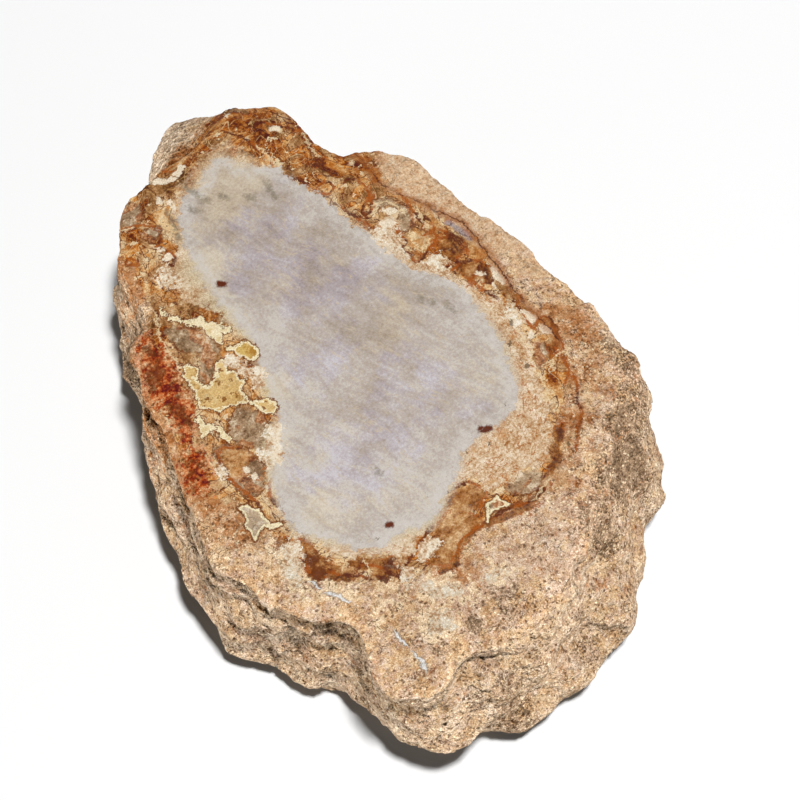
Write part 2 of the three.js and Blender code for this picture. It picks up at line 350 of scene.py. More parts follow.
AGATE_PATCHES = [
    [(-23.4, 17.8), (-21.2, 17.4), (-19.4, 16.2), (-18.6, 14.6), (-17.8, 12.6), (-18, 11),
     (-19.2, 10.4), (-20.4, 10.8), (-21, 12.6), (-22.2, 13.2), (-23, 15)],
    [(-22, 0.2), (-20.2, 1.6), (-18.6, 1.4), (-17.4, 0.2), (-16.8, -1.6), (-17.6, -3.8),
     (-18.8, -5.2), (-20.4, -4.8), (-21.8, -3.2), (-22.6, -1.4)],
    [(-25.4, -2.6), (-23.8, -2.4), (-22, -3.6), (-21, -5.4), (-20.6, -7.8), (-21.4, -9.8), (-23, -11),
     (-24.6, -10.4), (-25.2, -8.8), (-25.4, -6.2)],
    [(7, -25.8), (9, -25), (11, -25), (12, -26.2), (11.6, -27.8), (9.8, -28.2), (8.2, -27.6),
     (7, -26.6)],
    [(21.2, -8.4), (22.2, -8.2), (22.6, -9.6), (21.8, -11), (20.6, -12.2), (19.6, -12), (20, -10.4)],
    [(-20.2, 39.2), (-18.4, 39), (-17.8, 37.2), (-18.8, 35.4), (-20.8, 35.4), (-21.6, 36.8)],
    [(12.4, 23), (14.2, 22.4), (15.6, 20.6), (16.4, 19), (16.6, 17.2), (15.2, 16), (13.6, 16.6),
     (13.6, 18.2), (14.8, 19.4), (14, 21.2), (12, 21.6)],
    [(-19.6, 33.4), (-18.2, 34), (-17, 33.6), (-17.2, 32.4), (-18.4, 31.4), (-19.4, 32.2)],
    [(-21.8, 10), (-20.6, 10.6), (-19.6, 10.4), (-19.4, 9), (-20.6, 7.8), (-21.2, 7.2), (-22, 7.4),
     (-22.4, 8.6), (-22.4, 9.4)],
]
BROWN_DOMES = [
    [(17.2, 12), (18.4, 12.4), (19.6, 12), (20, 10.2), (19.4, 8.8), (18.4, 8.8), (16.8, 9),
     (16.6, 10.4)],
    [(18.2, 7.4), (19.6, 7.8), (21, 6.8), (21.4, 5.4), (20.8, 3.4), (19.4, 3.6), (18.4, 4.8),
     (17.8, 6.2)],
    [(24.2, -4.8), (25.2, -6), (25.2, -7.8), (24.8, -9.6), (25, -11.2), (24, -11.8), (23.2, -10.8),
     (23.2, -8.4), (23, -7), (22.6, -5.8)],
    [(-24, -18.6), (-21.2, -19.2), (-20, -22.2), (-18, -24.8), (-15, -25.8), (-12.6, -27.2),
     (-8.8, -27.6), (-11, -30), (-13.4, -29.6), (-15.4, -28.2), (-17, -28.2), (-19.6, -26.4),
     (-21.8, -25.4), (-22.2, -23), (-23.2, -20.6)],
    [(-7.4, -31), (-6.2, -27.4), (-3, -25), (-0.2, -23.2), (2.4, -22.6), (4.2, -23.8), (4.2, -25.6),
     (2, -26.2), (1.6, -28.4), (8, -29.2), (13.6, -26.4), (16.8, -21.2), (17.8, -21.8), (14, -27.4),
     (8.2, -30.2), (1.6, -29.6), (-3, -31.2), (-5.2, -32.6)],
    [(12, 13.4), (13.2, 13.4), (14, 12), (14.2, 11), (13, 10.8), (12.2, 12)],
]
AMBER_PATCHES = [
    [(14.2, 15.6), (16, 15.4), (16.8, 14), (16, 12.2), (14.4, 11.8), (13.6, 13.4)],
    [(20.2, 9), (21.4, 9.4), (22.4, 8.2), (22.2, 7), (20.8, 7.2), (20, 8.2)],
    [(18.2, 17.6), (19.2, 16.6), (18.4, 14.8), (17, 13.6), (16.2, 14.2), (17.2, 16.2)],
    [(-24.8, -3.2), (-23.2, -3), (-21.8, -4.2), (-21.6, -5.6), (-22.8, -6.8), (-24.8, -7.2),
     (-25.4, -5.6)],
]
QUARTZ_CHIPS = [
    [(12.4, 21), (13.6, 20.8), (14.6, 20), (14.8, 19.4), (13.8, 19.6), (12.8, 20.4)],
    [(11.4, 19), (13, 18.8), (13.4, 18.2), (12.6, 17.8), (11.6, 18.4)],
    [(22.6, -3), (23.2, -4), (23.6, -5), (22.6, -5.4), (22.4, -4.4)],
    [(23.4, -6.2), (24.2, -6.8), (24.4, -8.2), (24, -8), (23.4, -7.2)],
    [(21.4, -6.4), (22, -6.2), (21.8, -7.2), (21.2, -7.6), (21, -7)],
    [(19.6, 5.8), (20.6, 4.8), (20.4, 4.6), (19.4, 5.4)],
    [(22, 5.6), (22.4, 4.4), (22.6, 2.2), (22.2, 2), (21.6, 3.6)],
    [(21, 2.8), (21.2, 2.2), (20.8, 1.6), (20.6, 2.4)],
    [(-14.8, 40.8), (-13.4, 41.2), (-12.6, 40.4), (-11.2, 40), (-11.2, 39.4), (-12.6, 39.8),
     (-14, 40.2)],
    [(-11.2, 40.6), (-10.4, 41), (-9.6, 41.8), (-9.2, 41.2), (-9.6, 40.6), (-10.6, 40.2)],
    [(-18.1, 28.8), (-17.5, 28.7), (-17.5, 27.9), (-18.2, 27.7), (-18.5, 28.2)],
    [(-18.5, 30), (-17.9, 30), (-17.9, 29.4), (-18.5, 29.4)],
    [(-15, 38.2), (-14.5, 37.8), (-14.9, 36.8), (-15.3, 37.2)],
    [(-13.6, 36.8), (-13.2, 35.4), (-13.6, 35), (-14.1, 36.6)],
    [(-0.2, 47), (0.6, 47.4), (0.7, 46.8), (0, 46.3)],
    [(5, 41.3), (6.3, 40.7), (5.8, 40.1), (4.7, 40.8)],
    [(-23.1, -6.7), (-22.5, -6.7), (-22.4, -7.3), (-23, -7.4)],
    [(-22.8, -8.2), (-22, -8.1), (-21.9, -9), (-22.7, -9.1)],
    [(-18.8, -6.6), (-18.3, -6.7), (-18.4, -7.1), (-18.9, -7)],
]
CREAM_PATCHES = [
    [(-17.8, -2.4), (-16.6, -2.4), (-16, -3.4), (-16.2, -4.6), (-16.8, -5.6), (-17, -6.8), (-18, -8),
     (-19.4, -8), (-19.2, -6.8), (-18.2, -5.6)],
    [(-23.8, -19.4), (-22.4, -19), (-21.2, -19.6), (-21.4, -21.4), (-22.4, -23.4), (-24, -25.4),
     (-25.4, -23.8), (-24.8, -21.4)],
    [(-8, -28.4), (-6.8, -27.4), (-5.4, -27.4), (-5, -28.6), (-6, -29.6), (-7.6, -30), (-8.2, -29.8)],
    [(-11, -29.8), (-10.2, -29.8), (-10, -31.2), (-11.2, -31.8), (-11.6, -30.8)],
    [(-10.6, -32.4), (-8.4, -33.4), (-7, -34.4), (-5.8, -35), (-5.4, -36.4), (-6.6, -36.6),
     (-8.8, -35.4), (-10.2, -33.8)],
    [(-1.6, -36), (0, -35.8), (1.4, -36.4), (0.8, -36.8), (-0.6, -36.6), (-1.8, -36.8)],
    [(-10.8, -37.2), (-9.2, -37.2), (-8.4, -39.6), (-9.4, -40.2), (-11.4, -39.6), (-11.6, -38.4)],
    [(-19.6, 27.4), (-18.4, 27.4), (-18.4, 25.8), (-18, 24.6), (-19, 23.6), (-20, 24.2),
     (-20.6, 25.2), (-20.8, 26), (-19.8, 26.2)],
    [(-26, -4), (-25.6, -4.8), (-25.6, -6.2), (-26, -7), (-26.6, -5.8)],
    [(-17.2, 10), (-16.2, 8.8), (-15, 7), (-13.8, 5.6), (-14.8, 3.6), (-16.2, 4.2), (-16.6, 6.4),
     (-17.8, 9.2)],
    [(-20.2, -5.4), (-18.8, -5.8), (-18.6, -6.6), (-19.6, -7.4), (-20.2, -6.6)],
    [(20.6, -1.6), (21.8, -1.6), (21.4, -3.6), (20.8, -5.4), (20.2, -4), (20.2, -2.6)],
    [(9.8, 18.6), (11.6, 18), (13, 17.4), (12.8, 15.8), (12.6, 14), (11.4, 13), (10.2, 14.4),
     (9.6, 16.2)],
    [(15, 10.6), (16.4, 10.2), (16.6, 8.4), (15.8, 7.4), (14.6, 8.6), (14, 9.6)],
]
DARK_PATCHES = [
    [(-21, -21.8), (-20.4, -22.4), (-19.2, -23.8), (-20.4, -23.6), (-21.6, -23)],
    [(-22, -24.4), (-20.4, -23.8), (-19.4, -24), (-20.4, -26), (-21.8, -25.2)],
]
LAVENDER = [
    (20.2, 15), (21, 14), (21.6, 12.4), (22, 10.6), (21.4, 10.4), (20.8, 11.6), (20.2, 13.2),
    (19.8, 14.4),
]
# The open crack along the ring, and short white veins.
FRACTURE = [
    (13.5, 32), (14.5, 29), (14.5, 25.5), (16, 22.5), (17.5, 20.5), (19, 18), (20.5, 16), (22, 13.5),
    (22.5, 10.5), (22.5, 6.5), (23, 4), (23, 0.5), (23.5, -3), (24, -5.5), (24.5, -8), (24.5, -9.5),
]
VEINS = [
    [(-15.9, -37.4), (-15.9, -38.3), (-15.6, -39.2)], [(-15.1, -41.1), (-14.8, -42), (-14.9, -43.4)],
    [(-22.3, -26), (-21.9, -26.9)], [(-21.2, -28.2), (-20.2, -29), (-19.5, -30.2)],
]
# Thin lines of rust around the domes and bands of the ring, and thin cream ones.
RUST_LINES = [
    [(13.2, 17.2), (13.2, 14.4), (12, 13.4), (12.8, 13), (12.8, 11), (13.4, 10.8), (14.4, 11.4),
     (16.8, 12.8), (17.6, 13.2), (17.6, 14.4)],
    [(16, 12.2), (17.8, 12.8), (18.8, 12.6), (19.6, 12), (19.8, 10), (19.4, 9.2), (18.4, 8.8)],
    [(18.4, 14.2), (19.2, 13.4), (20, 12.2), (20.6, 10.8), (20.4, 9.6), (20.2, 8.8)],
    [(17, 7.4), (18.2, 7.6), (19.6, 7.8), (20.8, 7.2), (21.2, 6.4), (20.4, 5.8), (19.6, 5.2),
     (18.6, 5), (17.8, 4.2)],
    [(21.8, 6), (22.2, 4.8), (21.8, 3.6), (20.8, 2.8), (20, 3.4)],
    [(12.8, 24.8), (12, 23.6), (10, 22), (10.2, 21.2), (11, 21.4), (12, 23), (12.8, 23.8)],
    [(18.2, 4.8), (18.6, 4), (19.2, 2.4), (20.2, 0.4)],
    [(16.4, 21.8), (16.6, 19.8), (16.8, 16.2), (16.6, 15.4)],
    [(17.6, 17), (18, 16), (17.8, 14.8), (17, 14.2), (16.2, 14.4)],
    [(22.2, -1), (22.2, -4.6), (22.4, -6.2), (23.6, -5.4), (24.6, -5), (25.2, -6.2), (24.8, -8.6),
     (24.6, -11)],
    [(23.4, -10.4), (23.8, -12.2), (23.6, -13.8), (22.8, -15.2), (21.8, -15.8)],
    [(20, -22.4), (19.4, -23.8), (18.2, -25.4)],
    [(23.6, -15.2), (23.4, -17.2), (22, -18.8), (22, -20.4), (20.8, -22.2)],
    [(4.4, 42.6), (5.4, 41.4), (6.8, 40.4), (8.8, 38.8)],
    [(-1.4, 44), (-0.4, 42.8), (1.2, 40.4), (1.4, 39.2)],
    [(6.2, 28.6), (6.8, 29.2), (7.6, 29.2), (8.2, 28.6), (8.2, 27.6), (7.2, 27), (6.2, 27.4),
     (6, 28.2)],
    [(10, 27.6), (11, 28), (11.8, 27.2), (12.4, 25.8), (12.4, 24.6)],
    [(8, 24), (8.4, 22.6), (9.6, 19.8)], [(8.4, 36.4), (8.4, 33), (7.6, 32), (8.8, 32), (9.4, 33)],
    [(-23.4, 35.2), (-22.6, 35.6), (-19.8, 35.4), (-17.4, 34), (-17, 32.8), (-17.4, 31.2),
     (-18.4, 30.8)],
    [(-23.4, 30.6), (-22.6, 30.8), (-21.8, 29.2), (-22.6, 29.2), (-23.4, 29.8)],
    [(-18.6, 28.4), (-17.6, 29.2), (-17, 28.6), (-17.2, 27.4), (-18, 26.6), (-18.6, 28)],
    [(-16, 42.2), (-14.4, 42.4), (-12.6, 42.4), (-11.8, 41.6), (-10.6, 41)],
    [(-25.2, -2.6), (-24, -2.6), (-22.2, -3.6)],
    [(-25.2, -2.8), (-25.4, -6.8), (-24.8, -8.8), (-24.2, -10.6), (-23.6, -12), (-23.6, -13.4)],
    [(-20.4, -8), (-19.6, -8.2), (-19.2, -9), (-21.2, -10.6), (-21.6, -12.4), (-21, -16.2)],
    [(-21, -13.6), (-21, -16.4), (-20.8, -18.2), (-19.8, -19.4)],
    [(-22.2, -20.6), (-21.8, -23), (-22, -24), (-21.6, -25.2), (-20.6, -25.8)],
    [(-19.4, -25.4), (-18.8, -26.6), (-16.4, -28), (-15.4, -29)],
    [(-16.4, -27), (-15.2, -26.6), (-14.2, -27.2), (-13.4, -28.2), (-11.8, -30.6)],
    [(-0.2, -22.8), (1.4, -22.4), (3, -22.6), (3.8, -23.6)],
    [(-2.6, -24.8), (-5.6, -26.8), (-8.6, -28.6), (-11.4, -30.2)],
    [(-4.4, -31.8), (-1.6, -29.6), (1.8, -29), (5.6, -28.6), (7.6, -29), (9.4, -29.2), (11.2, -28.6)],
]
CREAM_LINES = [
    [(22, 6.2), (22.6, 5.2), (22.2, 4), (21.4, 3.2), (20.8, 2)], [(17.6, 19.4), (17, 18), (17, 15.4)],
    [(14.6, 15.8), (14, 14.2), (14.4, 12.4), (15.2, 12.6), (16.4, 13.2)],
    [(12, 22.2), (13.8, 22), (15, 20.6), (15.2, 19)],
    [(21.2, -12), (22, -12), (21.9, -13), (21, -13.4), (20.7, -12.9), (21.2, -12.6)],
    [(19.6, -14.8), (19.6, -15.8), (19.2, -16.6), (18.6, -17), (18.6, -16.2), (19.2, -15.6)],
    [(23.2, -11.4), (24.6, -11), (24.4, -12)],
    [(20.4, -5.4), (20.2, -9), (19.8, -10.8), (19.4, -12.8), (19.8, -13.8)],
    [(1.8, 38.8), (2.2, 36.8), (2.8, 35.2), (2.8, 34)], [(8.8, 38), (8.6, 35.8), (8.8, 33.8)],
    [(-23.8, 34.6), (-22, 35.6), (-20.6, 35.2)],
    [(-23.4, 20.8), (-24.2, 17.4), (-24.4, 14.8), (-24, 11)], [(-14.8, -26.2), (-14.8, -27.8)],
    [(-18.8, -24.2), (-17.6, -24.8), (-17.2, -25.8), (-17.8, -26.2)],
    [(9.6, -29), (10.8, -28.6), (12.4, -27.6)],
]
# Dark spots, specks and faint smudges: each x and y from one end to the other.
SPOTS = [
    [(-13.3, 20.9), (-12.8, 20.5)], [(8.2, -16.6), (8.6, -16.9), (9.4, -17)],
    [(-9.6, -23.2), (-9.3, -23.3)],
]
SPECKS = [
    [(20.2, -3.8), (20, -4.1)], [(18.6, -6.6), (18.2, -7)], [(18.4, -9.6), (18.5, -9.8)],
    [(18.8, -10.8), (18.6, -11.1)], [(13, -14.8), (13, -14.9)], [(16.2, -20.4), (16.1, -21)],
    [(17.9, -23.8), (17.6, -24.3)], [(8.2, -19), (8, -19.3)], [(5.2, -18.6), (4.9, -18.8)],
    [(-16.1, 14.5), (-16, 14.3)], [(-22, 19.9), (-21.6, 19.4)], [(-11.7, -24.1), (-11.5, -24.3)],
]
SMUDGES = [
    [(10.8, 5.8), (11, 5.3)], [(11.9, 4.3), (12.2, 3.9)], [(13.5, 3), (13.9, 1.7)],
    [(0.3, 33), (0, 31.4), (0.1, 30)], [(-7.2, -15), (-7.1, -16.1)], [(-10.6, 38), (-9.5, 35.4)],
    [(-9.2, 34.7), (-8.9, 33.8)], [(-11.6, 34.4), (-11, 33.2)], [(-6.7, 34.1), (-5.9, 33.1)],
    [(-3.6, 32.3), (-2.6, 31.3)], [(-14.8, 35.2), (-14.7, 33.4), (-15.1, 31), (-15.2, 30.4)],
]
# Soft patches: x, y, radius and strength.
DEEP_RUST = [
    (4, 44, 9, 1), (-10, 44, 7, 0.8), (9, 34, 7, 0.9), (6, 32, 5, 0.9), (-22, 34, 6, 0.6),
    (-24, 26, 5, 0.5), (12, 26, 4, 0.6), (18, 14, 5, 0.4), (24, -6, 3, 0.4),
]
RUST_STAINS = [
    (4.5, 43.9, 8, 1), (9.3, 40.3, 8, 1), (-1.6, 43.1, 7, 0.9), (10.8, 33.6, 6, 1), (-7.1, 44, 5, 0.8),
    (-17.1, 38, 5, 0.7), (-21.4, 36, 5, 0.8), (-26, 27.7, 5, 0.7), (-25.6, 32.7, 5, 0.7),
    (26.5, -6.8, 3.5, 0.7), (28, -10.5, 3, 0.6), (28, -13.6, 3, 0.4), (24, -16, 4, 0.6),
    (27, -17.7, 3, 0.3), (20.5, -20.7, 3, 0.5), (18.6, -25.1, 3, 0.4), (15.5, -27.6, 3, 0.4),
    (-28.4, -2, 3.5, 1), (-28.4, -6, 4, 0.9), (-28.2, -10, 4, 0.8), (-27.4, -14, 4, 0.6),
    (-5, -29.8, 4, 0.8), (-4.7, -32.6, 4, 0.6), (13.6, 31.7, 4, 0.8), (15.6, 27.7, 2.5, 0.6),
    (-30.4, 3.6, 3, 1), (-30.2, 8.8, 3, 1), (21, 17, 2.5, 0.3), (24, 9, 2.5, 0.4), (-31, 16, 3, 0.6),
    (-28, 21, 3, 0.8),
]
DARK_STAINS = [
    (26.4, -24.6, 3.5, 0.9), (24.9, -29, 4, 1), (21.3, -30.5, 3.5, 0.8), (16.5, -35.5, 3.5, 0.8),
    (30.8, -13.7, 3, 0.5), (31.7, -16.5, 3, 0.6), (30.2, -22.3, 4, 0.6), (-27.5, 22, 3.5, 1),
    (-4.5, -50.5, 3.5, 0.7), (-0.4, -38.8, 2.5, 0.5), (-6.2, -41, 1.3, 1), (-12.2, -41.6, 1.1, 0.8),
    (-1.4, -41.4, 1.2, 0.7), (8.1, -46.5, 3, 0.5), (30.8, -13.2, 1.1, 1), (-15.5, 33, 2, 0.9),
]
PALE_STAINS = [
    (-23.5, -21.6, 3, 0.9), (-23.3, -24.2, 3, 0.9), (-7.9, -34.7, 3.5, 1), (-10.7, -38.4, 3.5, 1),
    (0.1, -36.6, 2.5, 0.9), (-14.1, -32.3, 3, 0.9), (-23.7, -19.1, 2.5, 0.8), (-19.6, -28.5, 3, 0.8),
    (-4.4, -36.6, 2.5, 0.7), (-16, -34, 3, 0.6),
]
PEACH_STRIP = [
    (18.5, 26, 4, 1), (20, 22.5, 4, 1), (22, 18.5, 4, 1), (24.5, 14, 4, 1), (26.5, 9, 4, 0.9),
    (28, 4, 3.5, 0.6),
]
PINK_STAINS = [
    (5.8, -37.2, 6, 0.5), (-4, -38.5, 5, 0.4), (11.1, -33.4, 5, 0.3), (-16, 37, 3, 0.8),
    (2, 45, 5, 0.4),
]
GREY_STAINS = [
    (-8, 51.5, 4.5, 1), (-12.5, 48, 3, 0.9),
]
LIGHT_CLOUDS = [
    (-5, -21, 10, 1), (-16, -17, 7, 1), (5, -10, 9, 0.6), (12, -3, 8, 0.8), (-12, 12, 6, 0.9),
    (-12, 24, 4, 0.5), (3, 26, 3, 0.6), (8, 15, 3.5, 0.8), (-9, 1, 8, 0.9), (-13, -8, 8, 1),
    (14, -10, 5, 0.8),
]
BLUE_CLOUDS = [
    (-6, 24, 9, 0.9), (-2, 14, 8, 0.9), (1, 30, 5, 0.6), (6, 12, 5, 0.8), (-7, 4, 7, 0.8),
    (4, -6, 8, 0.8), (-6, -13, 8, 1), (8, -12, 5, 0.6), (-12, -14, 6, 0.9), (-15, -9, 5, 0.8),
]
STRAW_CLOUDS = [
    (-14.5, 24, 4, 1), (-14.5, 18, 4, 1), (-14.5, 12.5, 3, 0.8), (-14, 30, 3, 0.5), (-5, 35, 6, 1),
    (6, 2, 7, 0.5), (12, -6, 6, 0.5), (-8, 18, 4, 0.3), (-15.5, 3, 4, 1), (-18.3, -4.5, 3.5, 1),
    (-20, -9, 3.5, 0.9), (-15, -19, 5, 0.5), (-6, -22, 6, 0.5), (4, 18, 4, 0.3),
]
# Busy places, where thin lines stay sharp only between closer points: the middle's x and y, and how
# far each place reaches from it along x and y.
BUSY_PLACES = [
    (-20, 4, 6.5, 18), (15.5, 16, 5.5, 9), (4.5, -27.5, 3.5, 2.5), (-25, -14, 3, 4),
    (-15.5, -40.5, 2, 4.5), (-20.5, -28.5, 3, 3.5), (21.5, -7, 4, 10), (-18.5, 32, 5, 6),
    (8.5, 30, 4.5, 8), (-8, -27, 12, 4),
]
FACE_DEPTH = 0.05 * MM  # what lies no deeper than this is the flat face
RUBBED_DEPTH = 3.5 * MM  # the face's rubbed rim lies no deeper than this
FOOT_HEIGHT = 0.5 * MM  # the underside lies no higher than this
FAR = 50.0  # in mm; what the points away from the two cut faces keep as their distance
PATCH_CORE = 0.4  # how much of a soft patch's radius has its full strength
PATCH_END = 1.35  # how many times its radius it reaches


def is_busy(face):
    """Whether a facet of the flat face lies in a busy place."""
    x, y = (face.center.x - face_middle.x) / MM, (face.center.y - face_middle.y) / MM
    return face.center.z >= stone_high.z - FACE_DEPTH and any(
        (x - middle_x) ** 2 / reach_x ** 2 + (y - middle_y) ** 2 / reach_y ** 2 < 1
        for middle_x, middle_y, reach_x, reach_y in BUSY_PLACES
    )


def rounded(line, steps):
    """The same closed line with soft bends, in this many steps from each of its points to the next."""
    bends = []
    for i, here in enumerate(line):
        before, after, beyond = line[i - 1], line[(i + 1) % len(line)], line[(i + 2) % len(line)]
        for step in range(steps):
            t = step / steps
            weights = (
                -0.5 * t + t * t - 0.5 * t ** 3,
                1 - 2.5 * t * t + 1.5 * t ** 3,
                0.5 * t + 2 * t * t - 1.5 * t ** 3,
                -0.5 * t * t + 0.5 * t ** 3,
            )
            bends.append(tuple(
                sum(w * p[axis] for w, p in zip(weights, (before, here, after, beyond)))
                for axis in (0, 1)
            ))
    return bends


def mark_distance(name, lines, closed=True):
    """Keeps how far each point of the cut faces lies from these lines."""
    values = np.full(len(flat), FAR)
    values[cut] = nearest(flat[cut], lines, closed)
    mark(name, values)
    if not closed:
        mark("near_" + name, np.abs(values))


def patches(places):
    """How deep in soft round patches each point lies, from 0 to 1; where they meet, the stronger counts."""
    strongest = np.zeros(len(flat))
    for x, y, radius, strength in places:
        away = np.hypot(flat[:, 0] - x, flat[:, 1] - y)
        share = ease(away, radius * PATCH_END, radius * PATCH_CORE)
        strongest = np.maximum(strongest, strength * share)
    return strongest


select_faces(is_busy)
bpy.ops.mesh.subdivide(number_cuts=1)
bpy.ops.object.mode_set(mode="OBJECT")
flat = (skin() - np.array(face_middle))[:, :2] / MM
height = skin()[:, 2]
cut = (height > stone_high.z - RUBBED_DEPTH) | (height < FOOT_HEIGHT)

# Each zone's outline, with the steps of its bends; one step keeps it angular.
for name, lines, steps in (
    ("core", [CORE_EDGE], 4), ("margin", [MARGIN_EDGE], 4), ("ring", [RING_EDGE], 4),
    ("red", RED_PATCHES, 4), ("lace", LACE, 1), ("strip", LACE_STRIP, 1), ("gold", [GOLD_LOBE], 1),
    ("stars", OPEN_STARS, 1), ("agate", AGATE_PATCHES, 4), ("domes", BROWN_DOMES, 4),
    ("amber", AMBER_PATCHES, 4), ("chips", QUARTZ_CHIPS, 1), ("cream", CREAM_PATCHES, 3),
    ("dark", DARK_PATCHES, 1), ("lavender", [LAVENDER], 4),
):
    mark_distance(name, [rounded(line, steps) for line in lines])
for name, lines in (
    ("fracture", [FRACTURE]), ("veins", VEINS), ("rust_line", RUST_LINES), ("cream_line", CREAM_LINES),
    ("spots", SPOTS), ("specks", SPECKS), ("smudges", SMUDGES),
):
    mark_distance(name, lines, closed=False)
for name, places in (
    ("deep", DEEP_RUST), ("soot", DARK_STAINS), ("pale", PALE_STAINS), ("peach", PEACH_STRIP),
    ("blush", PINK_STAINS), ("light", LIGHT_CLOUDS), ("blue", BLUE_CLOUDS), ("straw", STRAW_CLOUDS),
):
    mark(name, patches(places))

# Rust thins out down the side, which is greyer towards the left and the blunt end.
mark("rust", patches(RUST_STAINS) * (0.15 + 0.85 * ease(height, 9 * MM, 22 * MM)))
steep = ease(skin("normal")[:, 2], 0.9, 0.1)
greyed = steep * ease(-0.9 * flat[:, 0] - 0.45 * flat[:, 1], 4, 22) * ease(height, 23.5 * MM, 19 * MM)
# The grey mark also paints the side lighter in the rind's finish: painted light on the left walls and the
# knob.
mark("grey", np.maximum(patches(GREY_STAINS), 0.35 * greyed))


# ---- The rind and the weathered side ----
# They are the same stone: tan sand grains in chalcedony, with open pores, rusty stains and pale
# crumbs. Neither takes a polish.
DAYLIGHT = 4.5  # how bright the lamps make a level white surface
SHEEN = 0.013  # how much of that the stone's faint gloss adds to its own colour
TONES = (0.27, 0.39, 0.5, 0.61, 0.74)  # where the five colours of a stone stand between dark and light
WARM_DARKS = (0.84, 1.0, 1.25)  # how strongly fine specks act on red, green and blue


def stone_colour(red, green, blue):
    """The reflectance of stone that looks this colour, 0 to 255, when it lies level in the light."""
    linear = [((c / 255 + 0.055) / 1.055) ** 2.4 for c in (red, green, blue)]
    return (*(max(light - SHEEN, 0.001) / DAYLIGHT for light in linear), 1)


def add(kind, inputs, output=0, **settings):
    """Adds a node to the tree in hand and gives its inputs values or other nodes' outputs; returns
    one of its outputs."""
    made = tree.nodes.new(kind)
    for name, value in settings.items():
        setattr(made, name, value)
    for name, value in inputs.items():
        if isinstance(value, bpy.types.NodeSocket):
            tree.links.new(value, made.inputs[name])
        else:
            made.inputs[name].default_value = value
    return made.outputs[output]


def connect(results, inputs):
    """Leads each named result to the input of that name."""
    for name, result in results.items():
        tree.links.new(result, inputs[name])


def maths(operation, first, second=0.0, third=0.0):
    return add("ShaderNodeMath", {0: first, 1: second, 2: third}, operation=operation)


def times(first, second):
    return maths("MULTIPLY", first, second)


def plus(total, value, weight=1.0):
    """The total and this much of the value."""
    return maths("MULTIPLY_ADD", value, weight, total)


def rest(share):
    return maths("SUBTRACT", 1.0, share)


def stronger(first, second):
    return maths("MAXIMUM", first, second)


def off(value, level):
    """How far a value is from this level, either way."""
    return maths("ABSOLUTE", maths("SUBTRACT", value, level))


def summed(start, *parts):
    """Start plus each noise, less its usual 0.5, times its weight."""
    total = start - 0.5 * sum(weight for _, weight in parts)
    for value, weight in parts:
        total = plus(total, value, weight)
    return total


def between(value, low, high, start=0.0, end=1.0):
    """Start where the value is at low, end where it is at high, and a smooth step between them."""
    return add(
        "ShaderNodeMapRange",
        {"Value": value, "From Min": low, "From Max": high, "To Min": start, "To Max": end},
        interpolation_type="SMOOTHSTEP",
    )


def over(share, under, top, blend_type="MIX"):
    """The top colour laid over the under one, by its share; (red, green, blue) is a stone's colour."""
    under, top = (stone_colour(*c) if isinstance(c, tuple) else c for c in (under, top))
    return add("ShaderNodeMix", {0: share, 6: under, 7: top}, 2, data_type="RGBA", blend_type=blend_type)


def layered(colour, *layers):
    """The colour under layers of other colours, each a share and a colour, from the lowest to the top."""
    for share, top in layers:
        colour = over(share, colour, top)
    return colour


def toned(tone, *colours):
    """The stone's five colours, from dark to light, by tone."""
    chosen = add("ShaderNodeValToRGB", {0: tone})
    steps = chosen.node.color_ramp.elements
    while len(steps) < len(colours):
        steps.new(1)
    for step, position, colour in zip(steps, TONES, colours):
        step.position = position
        step.color = stone_colour(*colour)
    return chosen


def clouds(place, size, detail, roughness=0.6, warp=0.0):
    """Three cloudy noises with lumps of this size in mm."""
    noise = add("ShaderNodeTexNoise", {
        "Vector": place, "Scale": 1 / (size * MM), "Detail": detail, "Roughness": roughness,
        "Distortion": warp,
    }, 1)
    return add("ShaderNodeSeparateColor", {0: noise}).node.outputs


def stretched(place, stretch, turn=0.0):
    """Places for a pattern that is this much longer along each axis, turned about the upright one."""
    settings = {"Vector": place, "Rotation": (0, 0, turn), "Scale": stretch}
    return add("ShaderNodeMapping", settings, vector_type="TEXTURE")


def cells(place, size):
    """A mosaic of grains of this size in mm: how far from each grain's middle, and three lots for each."""
    settings = {"Vector": place, "Scale": 1 / (size * MM)}
    mosaic = add("ShaderNodeTexVoronoi", settings, feature="F1").node.outputs
    lots = add("ShaderNodeSeparateColor", {0: mosaic["Color"]}).node.outputs
    return mosaic["Distance"], lots


def dots(mosaic, lot, share, radius):
    """1 in the middle of this share of the grains, drawn by one of their lots."""
    away, lots = mosaic
    chosen = between(lots[lot], 1 - share, 1.01 - share)
    return times(chosen, between(away, radius, radius * 0.55))


def hairline(value, level, width):
    """1 on the line where a noise passes this level, 0 away from it."""
    return between(off(value, level), width, width * 0.3)


def shaded(colour, amounts):
    """The colour with its red, green and blue made darker or lighter by amounts around 1."""
    return over(1.0, colour, add("ShaderNodeCombineColor", dict(enumerate(amounts))), "MULTIPLY")


def speckled(colour, amount):
    """The colour with fine light and dark specks, amount being around 1; the darks are the warmer."""
    return shaded(colour, [plus(1 - weight, amount, weight) for weight in WARM_DARKS])


